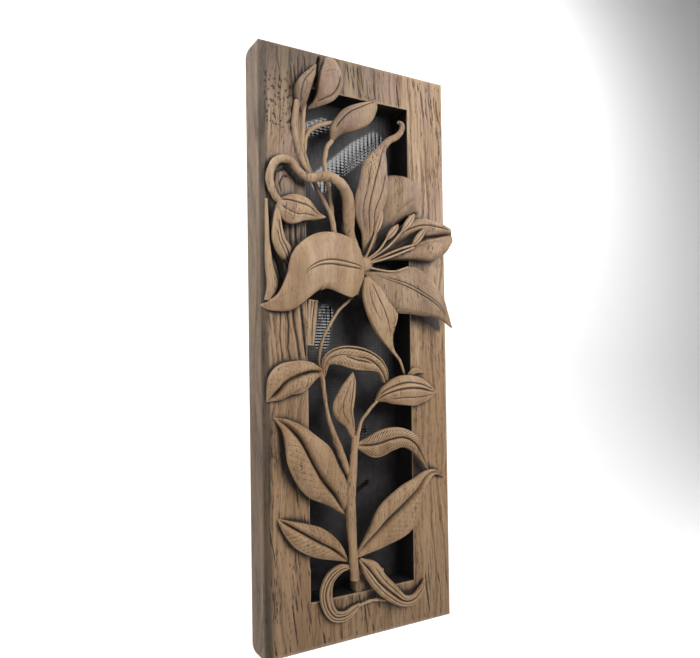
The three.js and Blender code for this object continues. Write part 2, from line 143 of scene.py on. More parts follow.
LEAVES = {
    "drop_leaf": dict(
        spine=[(-79, 116, 2), (-81, 101, 6), (-80, 87, 7), (-74, 76, 6), (-70, 66, 3)],
        left=[2, 3, 5, 6, 0.5], right=[2, 4, 6, 6, 0.5], dome=2, thick=7,
        grooves=[([(0.2, 0.1), (0.6, 0.3), (0.95, 0)], 0.8, 1.3),
                 ([(0.35, -0.3), (0.6, -0.2), (0.9, -0.3)], 0.8, 0.9)]),
    "rail_blade": dict(
        spine=[(-89, 120, 1), (-89, 95, 2), (-89, 69, 3), (-87, 51, 4), (-90, 38, 3)],
        left=[1, 2, 4, 6, 3], right=[1, 1.5, 2, 3, 2], dome=1, thick=6, fleck=0.4, rings=0.4),
    "window_stalk": dict(
        spine=[(-48, 40, 1), (-50, 22, 2), (-51, 2, 1)],
        left=[5, 5, 4], right=[4, 5, 4], dome=0, thick=8, roll=(0.6, 1.5, -0.1, 3.4), rings=0.8,
        grooves=[([(0.0, 0.35), (0.5, 0.1), (1, 0.3)], 0.8, 1.1), ([(0.0, -0.3), (1, -0.1)], 0.8, 0.9)]),
    "arch_leaf": dict(
        spine=[(-37, -24, -2), (-36, -11, 1), (-25, -6, 4), (-9, -8, 6), (5, -12, 6), (16, -20, 4),
               (24, -33, 1)],
        left=[1, 4, 7, 9, 8, 7, 3], right=[1, 5, 9, 11, 9, 4, 3],
        lobes=2, dome=1, thick=4, rims=(0.7, 0.8), stipple=0.3,
        grooves=[([(0.1, 0.78), (0.5, 0.74), (0.96, 0.7)], 0.8, 2.6),
                 ([(0.4, -0.15), (0.5, -0.25), (0.64, -0.2)], 0.9, 2.2),
                 ([(0.55, 0.1), (0.75, 0.0), (0.96, 0.0)], 0.7, 1.4)],
        veins=dict(pitch=3.4, slant=0.9, depth=0.4, width=0.6)),
    "left_leaf": dict(
        spine=[(-38, -20, -2), (-52, -20, 2), (-65, -23, 6), (-76, -28, 6), (-84, -36, 4), (-91, -43, 1)],
        left=[2, 10, 14, 12, 8, 0.5], right=[2, 9, 13, 15, 10, 0.5],
        lobes=3, dome=1, thick=8, rims=(0.5, 0.9), stipple=0.24,
        grooves=[([(0.02, 0), (0.5, -0.05), (0.9, 0)], 1.4, 3.2)],
        veins=dict(pitch=4.2, slant=0.9, depth=0.3, width=0.7)),
    "centre_leaf": dict(
        spine=[(-10, -78, 0), (-14, -65, 2), (-20, -52, 5), (-18, -40, 5), (-14, -29, 4), (-12, -21, 3)],
        left=[2, 6, 12, 9, 5, 0.5], right=[2, 4, 8, 7.7, 5.2, 0.5],
        dome=2, thick=4, roll=(0.85, 1, -0.8, 1.5),
        grooves=[([(0.1, -0.45), (0.5, -0.5), (0.9, -0.4)], 0.8, 1.3),
                 ([(0.2, 0.3), (0.5, 0.35), (0.85, 0.2)], 0.9, 0.6)]),
    "arched_right_leaf": dict(
        spine=[(-10, -84, 0), (8, -84, 3), (22, -80, 8), (33, -79, 12), (44, -85, 13), (55, -98, 10),
               (66, -114, 4)],
        left=[1, 9, 10, 8, 7, 4, 0.5], right=[1, 12, 11, 9, 7, 4, 0.5], lobes=2, dome=2, thick=4,
        rims=(0.6, 0.8), roll=(0.92, 0.5, -0.85, 1.5), grooves=[([(0.04, 0), (0.5, 0), (0.95, 0)], 0.9, 1.8)],
        veins=dict(pitch=2.6, slant=1.1, depth=0.8, width=0.6)),
    "lower_right_leaf": dict(
        spine=[(-13, -180, 2), (4, -163, 4), (19, -148, 8), (35, -135, 11), (48, -126, 11), (59, -117, 9),
               (72, -114, 6), (86, -120, 2)],
        left=[1, 6.5, 14, 14, 11, 6, 2.5, 0.5], right=[1, 16, 25, 23, 11, 6, 2.5, 0.5],
        lobes=4, dome=1, thick=4, rims=(0.5, 0.9), stipple=0.2,
        grooves=[([(0.02, 0), (0.35, -0.06), (0.7, -0.03), (0.96, 0)], 1.8, 3.2)],
        veins=dict(pitch=6, slant=1.0, depth=0.3, width=0.9)),
    "big_left_leaf": dict(
        spine=[(-21, -140, 2), (-33, -124, 5), (-47, -108, 8), (-58, -90, 10), (-66, -74, 8),
               (-75, -63, 5), (-85, -56, 1)],
        left=[2, 10, 18, 19, 14, 6.5, 0.5], right=[3, 16, 20, 20, 12, 6, 0.5],
        lobes=4, dome=2, thick=5, rims=(0.5, 0.9), stipple=0.28,
        grooves=[([(0.03, -0.02), (0.35, -0.04), (0.95, 0)], 1.7, 3.6)],
        veins=dict(pitch=6.5, slant=1.1, depth=0.3, width=0.9)),
    "lower_left_leaf": dict(
        spine=[(-19, -181, 2), (-33, -169, 4), (-49, -159, 6), (-63, -150, 6), (-74, -143, 4),
               (-83, -137, 1)],
        left=[1, 9, 13, 13, 8, 0.5], right=[1, 8, 11, 8, 4, 0.5],
        lobes=3, dome=1, thick=4, rims=(0.5, 0.8), stipple=0.26,
        grooves=[([(0.03, 0), (0.5, 0.03), (0.95, 0)], 1.0, 2.2)],
        veins=dict(pitch=4.5, slant=1.0, depth=0.35, width=0.7)),
    "curl_leaf": dict(
        spine=[(-16, -186, 3), (-28, -186, 5), (-38, -192, 5), (-43, -203, 5), (-41, -215, 5),
               (-34, -224, 5), (-23, -226, 4), (-14, -222, 4), (-8, -219, 3)],
        left=[1.5, 3.5, 5.5, 7.5, 7, 5.5, 4, 3, 1], right=[1.5, 4, 4, 3.5, 3.5, 4, 4, 3, 1], dome=1, thick=6,
        grooves=[([(0.03, 0.15), (0.5, 0.1), (0.97, 0)], 0.9, 1.6), ([(0.1, 0.6), (0.9, 0.55)], 0.6, 0.7),
                 ([(0.15, -0.5), (0.85, -0.5)], 0.7, 1.0)]),
    "bottom_right_leaf": dict(
        spine=[(-8, -181, 3), (0, -191, 6), (9, -203, 8), (21, -214, 9), (34, -223, 8), (47, -224, 6),
               (57, -217, 4), (61, -210, 2)],
        left=[2, 9.5, 9, 8, 5, 4, 3, 0.5], right=[2, 6, 7, 7, 5, 4.5, 3, 0.5],
        lobes=2, dome=1, thick=6,
        grooves=[([(0.03, 0), (0.5, 0.05), (0.95, 0)], 0.9, 1.9), ([(0.15, 0.5), (0.85, 0.45)], 0.7, 1.0),
                 ([(0.1, -0.5), (0.85, -0.45)], 0.7, 1.0)]),
}

STEMS = {
    "flower_stem": dict(
        spine=[(-74, 117, 1), (-82, 123, 2), (-87, 135, 3), (-85, 146, 4), (-79, 152, 5), (-70, 152, 6),
               (-64, 145, 7), (-56, 139, 9), (-47, 140, 12), (-37, 141, 13), (-27, 136, 13),
               (-20, 127, 11), (-17, 113, 8), (-15, 99, 4), (-8, 86, 0)],
        radii=[2.5, 3, 3.2, 3.2, 3.2, 3.2, 3.2, 3.4, 3.8, 4.2, 4.6, 5, 5.2, 5.2, 5]),
    "top_stem_left": dict(
        spine=[(-61, 204, 2), (-63, 185, 1), (-60, 165, 0), (-54, 151, 0), (-49, 142, 2)],
        radii=[2.5, 2.8, 2.8, 2.5, 2]),
    "top_stem_right": dict(
        spine=[(-54, 203, 0), (-55, 185, -1), (-55, 166, -2), (-49, 151, -3), (-44, 140, -3),
               (-37, 127, -2), (-30, 113, 0), (-29, 96, 4)],
        radii=[2, 2.4, 2.4, 2.2, 2, 2, 2.2, 2.4]),
    "middle_stem": dict(
        spine=[(-27, 177, -1), (-31, 171, -3), (-33, 160, -4), (-33, 149, -3), (-31, 137, -2),
               (-29, 122, -1), (-28, 110, 0)],
        radii=[1.8, 2, 2, 2, 2, 2, 2]),
    "thin_arc": dict(
        spine=[(-53, 165, -3), (-50, 179, -4), (-43, 186.5, -3), (-33, 191, -2), (-24, 192.5, 0)],
        radii=[1.9, 2.1, 2.1, 2, 1.9]),
    "lower_branch": dict(
        spine=[(4, 66, -4), (-5, 46, -7), (-18, 33, -9), (-30, 16, -9), (-38, 0, -7), (-40, -14, -4),
               (-38, -30, -3), (-36, -48, -2), (-33, -63, -1), (-27.5, -80, 0), (-21, -97, 1),
               (-16, -112, 2)],
        radii=[1.3, 1.3, 1.3, 1.4, 1.6, 2, 1.9, 1.7, 2.2, 3, 3.2, 3]),
    "right_bud_stem": dict(
        spine=[(13, -47, 1), (6, -54, 0), (-2, -63, 0), (-6, -74, 0), (-10, -90, 1)],
        radii=[1.3, 1.4, 1.5, 1.8, 2.2]),
    "main_stem": dict(
        spine=[(-10, -76, 0), (-12, -95, 2), (-16, -115, 3), (-17, -139, 4), (-16, -159, 4),
               (-15, -177, 4), (-13, -197, 3)],
        radii=[2.2, 3.4, 5, 4.7, 4.1, 3.9, 4]),
    "foot_ridge": dict(
        spine=[(-10, -220, 3), (4, -218, 3), (17, -220, 4)],
        radii=[1.2, 1.2, 1.2]),
}

STAMENS = [
    dict(path=[(3, 76, -1), (6, 87, 5), (10, 99, 7)], head=(16, 119, 9)),
    dict(path=[(4, 76, -1), (14, 85, 6), (21, 95, 8)], head=(32, 108, 10)),
    dict(path=[(6, 76, -1), (22, 88, 8), (36, 103, 11)], head=(49, 119, 11)),
    dict(path=[(6, 74, -1), (31, 86, 10), (46, 91, 13)], head=(58, 106, 15)),
    dict(path=[(4, 73, -1), (23, 79, 9), (47, 89, 13)]),
    dict(path=[(4, 71, -1), (26, 67, 8), (41, 71, 12)]),
]

# ---- helpers ---------------------------------------------------------

LATTICE = np.random.default_rng(7).uniform(-1, 1, (32, 32, 32))


def noise(points, size, seed=0):
    """Smooth noise in -1..1 at points in millimetres, with features of size, one number or one per axis."""
    q = np.asarray(points, float) / size + 7.31 * seed
    cell = np.floor(q).astype(int)
    f = q - cell
    f = f * f * (3 - 2 * f)
    total = 0
    for corner in itertools.product((0, 1), repeat=3):
        weight = np.prod(np.where(corner, f, 1 - f), axis=-1)
        i, j, k = np.moveaxis((cell + corner) % len(LATTICE), -1, 0)
        total = total + weight * LATTICE[i, j, k]
    return total


def smoothstep(low, high, value):
    t = np.clip((value - low) / (high - low), 0, 1)
    return t * t * (3 - 2 * t)


def place(points):
    """Points given as right, up, out to the part's frame, in millimetres."""
    p = np.asarray(points, float)
    return np.stack([p[..., 0], -PLANK["thick"] - p[..., 2], p[..., 1] - ORIGIN_HEIGHT], axis=-1)


def spots_at(right, up, out):
    """The part's points for right, up and out, each a number or a row."""
    return place(np.stack(np.broadcast_arrays(right, up, out), axis=-1))


def on_face(x, z):
    """Points of the face's plane, for noise."""
    return np.stack([x, 0 * x, z + 0 * x], axis=-1)


def curve(points, t):
    """A uniform Catmull-Rom curve through points, at parameters t from 0 to 1."""
    p = np.asarray(points, float)
    p = p.reshape(len(p), -1)
    spans = len(p) - 1
    p = np.vstack([2 * p[0] - p[1], p, 2 * p[-1] - p[-2]])
    s = np.clip(t, 0, 1) * spans
    i = np.minimum(s.astype(int), spans - 1)
    w = (s - i)[:, None]
    a, b, c, d = p[i], p[i + 1], p[i + 2], p[i + 3]
    start, end = (c - a) / 2, (d - b) / 2
    return ((2 * b - 2 * c + start + end) * w + (-3 * b + 3 * c - 2 * start - end)) * w * w + start * w + b


def unit(v):
    return v / np.maximum(np.linalg.norm(v, axis=-1, keepdims=True), 1e-9)


def stations(spine, step=0.9):
    """Even stations along a spine: parameter, distance, point, normal to the front, and side to its left."""
    p = place(spine)
    fine = np.linspace(0, 1, 400)
    run = np.r_[0, np.cumsum(np.linalg.norm(np.diff(curve(p, fine), axis=0), axis=1))]
    count = max(6, int(run[-1] / step))
    t = np.interp(np.linspace(0, run[-1], count + 1), run, fine)
    nudge = 1e-3
    tangent = unit(curve(p, np.minimum(t + nudge, 1)) - curve(p, np.maximum(t - nudge, 0)))
    out = np.array([0.0, -1.0, 0.0])
    normal = unit(out - tangent * (tangent @ out)[:, None])
    return t, np.linspace(0, run[-1], count + 1), curve(p, t), normal, np.cross(normal, tangent)


def face_outward(mesh):
    """Turns every face of a closed mesh to look outward."""
    body = bmesh.new()
    body.from_mesh(mesh)
    bmesh.ops.recalc_face_normals(body, faces=body.faces)
    body.to_mesh(mesh)
    body.free()


def new_object(name, points, faces, smooth_angle=None):
    """A mesh object from points in millimetres."""
    mesh = bpy.data.meshes.new(name)
    used, index = np.unique(np.concatenate([np.asarray(f).ravel() for f in faces]), return_inverse=True)
    lists, start = [], 0
    for f in faces:
        f = np.asarray(f)
        lists += index[start:start + f.size].reshape(f.shape).tolist()
        start += f.size
    mesh.from_pydata((np.asarray(points)[used] * MM).tolist(), [], lists)
    face_outward(mesh)
    mesh.polygons.foreach_set("use_smooth", [True] * len(mesh.polygons))
    if smooth_angle:
        mesh.set_sharp_from_angle(angle=math.radians(smooth_angle))
    obj = bpy.data.objects.new(name, mesh)
    bpy.context.scene.collection.objects.link(obj)
    return obj


def ring_faces(first, second, closed=True):
    """Quads between two rows of vertex numbers."""
    first, second = np.asarray(first), np.asarray(second)
    if closed:
        return np.stack([first, np.roll(first, -1), np.roll(second, -1), second], axis=1)
    return np.stack([first[:-1], first[1:], second[1:], second[:-1]], axis=1)


def loft(name, rings):
    """Closes rows of points, all (rows, around, 3), into one body with a fan at each end."""
    rows, around = rings.shape[:2]
    ids = np.arange(rows * around).reshape(rows, around)
    points = np.vstack([rings.reshape(-1, 3), rings[0].mean(0), rings[-1].mean(0)])
    quads = np.concatenate([ring_faces(ids[i], ids[i + 1]) for i in range(rows - 1)])
    low = np.stack([np.roll(ids[0], -1), ids[0], np.full(around, rows * around)], axis=1)
    high = np.stack([ids[-1], np.roll(ids[-1], -1), np.full(around, rows * around + 1)], axis=1)
    return new_object(name, points, [quads, low, high])


# ---- carved shapes ---------------------------------------------------

# A blade's thickness left at its ends and along its rims, as shares, and how far its edges are broken.
END_SHARE = 0.4
RIM_SHARE = 0.5
BROKEN_EDGE = 1.2

def groove_depth(share, across, widths, grooves):
    """Depth of grooves, each a path of (share of length, share of half width), a half width and a depth."""
    depth = 0
    for path, width, deep in grooves:
        at, u = np.array(path, float).T
        centre = np.interp(share, at, u)
        centre = centre * np.where(centre > 0, widths[:, :1], widths[:, 1:])
        fade = smoothstep(at[0] - 0.04, at[0] + 0.06, share) * smoothstep(at[-1] + 0.04, at[-1] - 0.06, share)
        depth = depth + deep * fade * np.exp(-((across - centre) / width) ** 2)
    return depth


def vein_depth(u, across, run, pitch, slant, depth, width):
    """Side veins that leave the midrib towards the tip."""
    phase = (run - slant * abs(across)) / pitch
    off = (phase - np.round(phase)) * pitch
    return depth * np.exp(-(off / width) ** 2) * smoothstep(0.05, 0.2, abs(u)) * smoothstep(1, 0.8, abs(u))


def blade(name, spine, left, right, thick, dome=0, lobes=0, cup=0, grooves=(), veins=None, rims=(0, 1),
          roll=(1, 0, -1, 0), stipple=0.16, tone=1.0, fleck=0.7, rings=0.15, seed=0):
    """A leaf, petal or bud on the solid's own form, with its veins, grooves, rims and rolled edges."""
    t, run, centre, normal, side = stations(spine, 0.8)
    widths = np.maximum(curve(np.stack([left, right], axis=1), t), 0.4)
    widest = max(a + b for a, b in zip(left, right))
    steps = int(max(18, min(84, widest * 1.7)))
    x = np.linspace(-1, 1, steps + 1)
    u = (0.6 * x + 0.4 * np.sin(math.pi / 2 * x))[None, :]
    share = t[:, None]
    full = np.minimum(1, 1.3 * widths.sum(1) / widest)[:, None]
    body = thick * (END_SHARE + (1 - END_SHARE) * full)

    def half(u):
        return np.where(u > 0, widths[:, :1], widths[:, 1:])

    def rolled(u):
        over_left = np.clip((u - roll[0]) / max(1 - roll[0], 1e-3), 0, 1)
        over_right = np.clip((roll[2] - u) / max(roll[2] + 1, 1e-3), 0, 1)
        return full * smoothstep(0.12, 0.35, share) * (roll[1] * over_left ** 2 + roll[3] * over_right ** 2)

    def form(u):
        swell = dome * (1 - u * u) + lobes * 4 * abs(u) * (1 - abs(u)) + cup * u * u
        return full * swell - rolled(u)

    def spots(u, height):
        sideways = side[:, None] * (u * half(u))[..., None]
        return centre[:, None] + sideways + normal[:, None] * height[..., None]

    across = u * half(u)
    from_edge = (1 - abs(u)) * half(u)
    front = form(u) + 0 * across
    along = np.stack([across, 0 * across, run[:, None] + 0 * across], axis=-1)
    fine = noise(along, (1.1, 1, 3.2), seed) * 0.6 * stipple
    broad = noise(along, (3.1, 1, 9), seed + 1) * (0.1 + stipple)
    front = front + (fine + broad) + full * rims[0] * np.exp(-((from_edge - rims[1]) / rims[1]) ** 2)
    front = front - full ** 0.5 * groove_depth(share, across, widths, grooves)
    if veins:
        front = front - full * vein_depth(u, across, run[:, None], **veins)
    corner = np.minimum(BROKEN_EDGE, 0.5 * half(u))
    lost = np.clip(1 - from_edge / corner, 0, 1)
    front = front - corner * 0.8 * (1 - np.sqrt(1 - lost * lost))
    back_u = np.linspace(0.98, -0.98, max(7, steps // 3))[None, :]
    arch = 1 - back_u * back_u
    back = form(back_u) * (1 - 0.5 * arch) - body * (RIM_SHARE + (1 - RIM_SHARE) * arch)
    made = loft(name, np.concatenate([spots(u, front), spots(back_u, back)], axis=1))
    give(made, tone=tone, fleck=fleck, rings=rings)
    return made


def rod(name, spine, radii, grooves=0.25, step=0.9):
    """A stem: a round rod with fine lengthwise tool marks."""
    t, run, centre, normal, side = stations(spine, step)
    radius = curve(radii, t)
    sides = int(max(12, min(28, 6 * max(radii))))
    turn = 2 * math.pi * np.arange(sides) / sides
    ring = side[:, None] * -np.cos(turn)[None, :, None] + normal[:, None] * np.sin(turn)[None, :, None]
    plain = centre[:, None] + ring * radius[:, None]
    marks = noise(plain, (2.2, 2.2, 9), 3) * grooves + noise(plain, 5, 4) * grooves
    return loft(name, centre[:, None] + ring * (radius + marks)[..., None])


def ellipsoid(name, centre, axes, radii, around=20, rows=14, point=1.0, seam=0.0):
    """A rounded body, its long axis first in axes. point above 1 sharpens its ends, seam cuts its front."""
    polar = np.linspace(0.12, math.pi - 0.12, rows)
    turn = 2 * math.pi * np.arange(around) / around
    a, b, c = (np.asarray(v) for v in axes)
    facing = (b * np.cos(turn)[:, None] + c * np.sin(turn)[:, None]) @ np.array([0.0, -1.0, 0.0])
    depth = 1 - seam * np.exp(-((1 - facing) / 0.06) ** 2)
    section = (b * radii[1] * np.cos(turn)[:, None] + c * radii[2] * np.sin(turn)[:, None]) * depth[:, None]
    rings = [centre + a * radii[0] * -math.cos(p) + section * math.sin(p) ** point for p in polar]
    return loft(name, np.array(rings))


# ---- the plank -------------------------------------------------------

def lines(*stops, spacing):
    """Grid lines through every stop, about spacing apart."""
    parts = [np.linspace(a, b, max(2, round((b - a) / spacing) + 1))[:-1]
             for a, b in zip(stops, stops[1:])]
    return np.concatenate(parts + [[stops[-1]]])


def rectangle_loop(ids):
    """The numbers around the edge of a block of a grid indexed [x, z], from its low corner, up first."""
    return np.concatenate([ids[0, :-1], ids[:-1, -1], ids[-1, :0:-1], ids[:0:-1, 0]])


def stitch(first, first_at, second, second_at):
    """Triangles between two closed loops, walking both by their place along the loop."""
    faces = []
    i = j = 0
    n, m = len(first), len(second)
    while i < n or j < m:
        if j == m or (i < n and first_at[i] <= second_at[j]):
            faces.append((first[i], first[(i + 1) % n], second[j % m]))
            i += 1
        else:
            faces.append((first[i % n], second[(j + 1) % m], second[j]))
            j += 1
    return np.array(faces)


def distance(x, z, path):
    """Distance from points to a broken line, and how far along it (0 to 1) the nearest place is."""
    path = np.asarray(path, float)
    best = np.full(x.shape, 1e9)
    where = np.zeros(x.shape)
    for k, (a, b) in enumerate(zip(path, path[1:])):
        ab = b - a
        s = np.clip(((x - a[0]) * ab[0] + (z - a[1]) * ab[1]) / (ab @ ab), 0, 1)
        d = np.hypot(x - a[0] - s * ab[0], z - a[1] - s * ab[1])
        near = d < best
        best = np.where(near, d, best)
        where = np.where(near, (k + s) / (len(path) - 1), where)
    return best, where


# Cuts in the face, each a path of (right, up), a half width and a depth.
FACE_CUTS = [
    ([(-43, 222), (-41, 235), (-38, 252)], 1.3, 4.5),
    ([(-85, 120), (-87, 100), (-84, 85), (-78, 70), (-72, 52), (-70, 44)], 2.6, 5),
    ([(-79, 124), (-82, 133), (-80, 143), (-72, 147), (-65, 141), (-60, 134)], 0.9, 1.6),
    ([(-75, 126), (-77, 134), (-74, 140), (-69, 141)], 0.8, 1.2),
    ([(-72, 38), (-70, 18), (-71, 0), (-68, -14)], 1.1, 1.4),
    ([(-66, 40), (-65, 20), (-62, 5), (-60, -12)], 1.5, 2.4),
    ([(-59, 38), (-57, 20), (-56, 8), (-54, -12)], 1.3, 2.2),
    ([(-77, 34), (-78, 10), (-76, -12)], 0.8, 0.9),
    ([(-73, 106), (-74, 92), (-72, 82)], 1.0, 1.6),
    ([(-68, 106), (-68, 90), (-67, 82)], 0.9, 1.3),
    ([(-63, 104), (-63, 92), (-62, 84)], 1.0, 1.7),
    ([(-58, 102), (-58, 90), (-57, 84)], 0.8, 1.3),
]


def face_relief(x, z):
    """Height of the plank's face in millimetres: its grain, furrows and cuts."""
    flat = on_face(x, z)
    height = 0.3 * noise(flat, (3, 1, 40), 1) + 0.2 * noise(flat, (1.6, 1, 14), 2)
    leaning = on_face(x + 0.12 * z, z)
    streaks = 0.8 * noise(leaning, (2.1, 1, 34), 8) + 0.45 * noise(leaning, (1.5, 1, 11), 10)
    ends = np.maximum(smoothstep(205, 222, z), smoothstep(-195, -215, z))
    low_left = smoothstep(-20, -60, x) * smoothstep(-60, -140, z)
    strength = 0.3 + 0.8 * np.maximum(ends, low_left)
    height = height - strength * smoothstep(0.22, 0.7, streaks)
    chips = noise(on_face(x + z, x - z), (2.2, 1, 3.4), 9)
    chipped = smoothstep(-52, -64, x) * smoothstep(172, 186, z) * smoothstep(232, 218, z)
    height = height - 0.8 * chipped * smoothstep(0.05, 0.5, chips)
    for path, width, depth in FACE_CUTS:
        d, s = distance(x, z, path)
        ends = np.minimum(1, 6 * np.minimum(s, 1 - s) + 0.25)
        height = height - depth * ends * np.exp(-(d / width) ** 2)
    return height


def board():
    """The plank as one closed body: face, bevel, sides, rounded back, and the window with its rebate."""
    spacing_x, spacing_z = 0.8, 1.6
    touch = 1e-6
    half_w, half_h = PLANK["width"] / 2, PLANK["height"] / 2
    win = OPENING
    xs = lines(CHAMFER - half_w, win["left"], win["right"], half_w - CHAMFER, spacing=spacing_x)
    zs = lines(CHAMFER - half_h, win["bottom"], win["top"], half_h - CHAMFER, spacing=spacing_z)
    grid = np.arange(len(xs) * len(zs)).reshape(len(xs), len(zs))
    gx, gz = (g.ravel() for g in np.meshgrid(xs, zs, indexing="ij"))
    relief = face_relief(gx, gz)
    edge = np.minimum(half_w - CHAMFER - abs(gx), half_h - CHAMFER - abs(gz))
    relief = relief * smoothstep(-0.5, 1.5, edge)
    points = [spots_at(gx, gz, relief)]
    on_x = (xs >= win["left"] - touch) & (xs <= win["right"] + touch)
    on_z = (zs >= win["bottom"] - touch) & (zs <= win["top"] + touch)
    keep = ~((on_x[:-1] & on_x[1:])[:, None] & (on_z[:-1] & on_z[1:])[None, :])
    quads = np.stack([grid[:-1, :-1], grid[1:, :-1], grid[1:, 1:], grid[:-1, 1:]], axis=-1)[keep]
    faces = [quads]
    count = len(gx)

    def add_ring(previous, corners_from, corners_to, out):
        """A loop moved from one rectangle (left, right, bottom, top) to another, at its own depth."""
        nonlocal count
        base = np.concatenate(points)[previous]
        x, z = base[:, 0], base[:, 2] + ORIGIN_HEIGHT
        fl, fr, fb, ft = corners_from
        tl, tr, tb, tt = corners_to
        x = tl + (x - fl) / (fr - fl) * (tr - tl)
        z = tb + (z - fb) / (ft - fb) * (tt - tb)
        points.append(spots_at(x, z, out))
        ids = np.arange(count, count + len(previous))
        count += len(previous)
        faces.append(ring_faces(ids, previous))
        return ids

    def drawn(radius, from_back):
        into = max(0, radius - from_back)
        return radius - math.sqrt(radius * radius - into * into)

    outer = rectangle_loop(grid)
    rect = (CHAMFER - half_w, half_w - CHAMFER, CHAMFER - half_h, half_h - CHAMFER)
    sections = [(PLANK["thick"] - CHAMFER * down, CHAMFER * (1 - across), CHAMFER * (1 - across))
                for down, across in [(0.35, 0.5), (0.8, 0.9), (1, 1)]]
    sections += [(d, 0, 0) for d in (27, 23, 19, 15.5)]
    rounds = 7
    depths = [BACK_ROUND["end"] * (1 - math.sin(math.pi / 2 * i / rounds)) for i in range(rounds + 1)]
    sections += [(d, drawn(BACK_ROUND["side"], d), drawn(BACK_ROUND["end"], d)) for d in depths]
    for from_back, in_x, in_z in sections:
        target = (in_x - half_w, half_w - in_x, in_z - half_h, half_h - in_z)
        outer = add_ring(outer, rect, target, from_back - PLANK["thick"])
        rect = target

    inner = rectangle_loop(grid[np.ix_(np.nonzero(on_x)[0], np.nonzero(on_z)[0])])[::-1]
    window = (win["left"], win["right"], win["bottom"], win["top"])
    lip = REBATE["lip"]
    wide = (win["left"] - lip, win["right"] + lip, win["bottom"] - lip, win["top"] + lip)
    back_lip = REBATE["depth"] - PLANK["thick"]
    rect = window
    walls = [(window, out) for out in (-2, -7, -12, -18, back_lip)]
    for target, out in walls + [(wide, back_lip), (wide, -PLANK["thick"])]:
        inner = add_ring(inner, rect, target, out)
        rect = target
    every = np.concatenate(points)

    def loop_place(ids, corners):
        left, right, bottom, top = corners
        x, z = every[ids, 0], every[ids, 2] + ORIGIN_HEIGHT
        fx, fz = (x - left) / (right - left), (z - bottom) / (top - bottom)
        return np.select([fx < touch, fz > 1 - touch, fx > 1 - touch], [fz, 1 + fx, 3 - fz], 4 - fx)

    inner = inner[::-1]
    back_rect = (BACK_ROUND["side"] - half_w, half_w - BACK_ROUND["side"],
                 BACK_ROUND["end"] - half_h, half_h - BACK_ROUND["end"])
    outer_at, inner_at = loop_place(outer, back_rect), loop_place(inner, wide)
    outer_at[0] = inner_at[0] = 0
    faces.append(stitch(outer, outer_at, inner, inner_at))
    return new_object("oak_board", every, faces, smooth_angle=50)


# ---- the black ground ------------------------------------------------

def ground_board():
    """A thin board whose face is a fine basket weave of raised cushions."""
    edge = REBATE["lip"] - GROUND["gap"]
    left, right = OPENING["left"] - edge, OPENING["right"] + edge
    bottom, top = OPENING["bottom"] - edge, OPENING["top"] + edge
    front = REBATE["depth"] - PLANK["thick"] - GROUND["gap"]
    pitch_x, pitch_z = 4.2, 2.6
    xs = lines(left, right, spacing=pitch_x / 5)
    zs = lines(bottom, top, spacing=pitch_z / 4)
    grid = np.arange(len(xs) * len(zs)).reshape(len(xs), len(zs))
    gx, gz = (g.ravel() for g in np.meshgrid(xs, zs, indexing="ij"))
    over = np.sin(math.pi * gx / pitch_x) * np.cos(math.pi * gz / pitch_z)
    weave = abs(over) ** 0.7
    margin = np.minimum(np.minimum(gx - left, right - gx), np.minimum(gz - bottom, top - gz))
    depth = 0.4 * (1 - weave) * smoothstep(0, 2, margin)
    points = spots_at(gx, gz, front - depth)
    faces = [np.stack([grid[:-1, :-1], grid[1:, :-1], grid[1:, 1:], grid[:-1, 1:]], axis=-1).reshape(-1, 4)]
    loop = rectangle_loop(grid)
    back = points[loop] + np.array([0, GROUND["thick"], 0])
    ids = np.arange(len(points), len(points) + len(loop))
    faces.append(ring_faces(ids, loop))
    faces.append(ids[None, :])
    return new_object("backing", np.vstack([points, back]), faces, smooth_angle=60)


# ---- the carving, piece by piece -------------------------------------

def make_carving():
    """Every blade, stem, stamen and the throat, and the stump they grow from."""
    made = []
    for seed, (name, shape) in enumerate({**PETALS, **BUDS, **LEAVES}.items()):
        made.append(blade(name, seed=seed, **shape))
    for name, shape in STEMS.items():
        made.append(rod(name, **shape))
    for k, stamen in enumerate(STAMENS):
        made.append(rod(f"filament_{k + 1}", stamen["path"], [FILAMENT_RADIUS] * 3, grooves=0.05, step=0.6))
        if "head" in stamen:
            a, b = place(stamen["path"][-1]), place(stamen["head"])
            long = unit(b - a)
            flat = unit(np.cross(long, (0, 1, 0)))
            half = np.linalg.norm(b - a) / 2 + 1
            made.append(ellipsoid(f"pollen_head_{k + 1}", (a + b) / 2, (long, flat, np.cross(long, flat)),
                                  (half, ANTHER_RADIUS, ANTHER_RADIUS), 28, 20, point=1.5, seam=0.35))
    made.append(ellipsoid("throat", place(THROAT["at"]), np.eye(3), THROAT["radii"], 28, 18))
    made.append(stump())
    return made


def stump():
    """The uncut wood left under the foot of the plant, gouged down its grain."""
    left, right, bottom, top = (STUMP[k] for k in ("left", "right", "bottom", "top"))
    rows = np.linspace(bottom, top, 34)
    x = np.linspace(left, right, 30)
    rings = []
    for z in rows:
        flat = on_face(x, z)
        cuts = 1.1 * noise(flat, (2.2, 1, 26), 40) + 0.5 * noise(flat, (1.1, 1, 9), 41)
        round_off = 1.6 * (1 - np.sqrt(1 - np.clip(1 - np.minimum(x - left, right - x) / 2.5, 0, 1) ** 2))
        front = spots_at(x, z, STUMP["front"] + cuts - 0.6 - round_off)
        back = spots_at(x[::-1], z, STUMP["back"])
        rings.append(np.vstack([front, back]))
    return loft("stump", np.array(rings)[::-1])


# ---- finish ----------------------------------------------------------

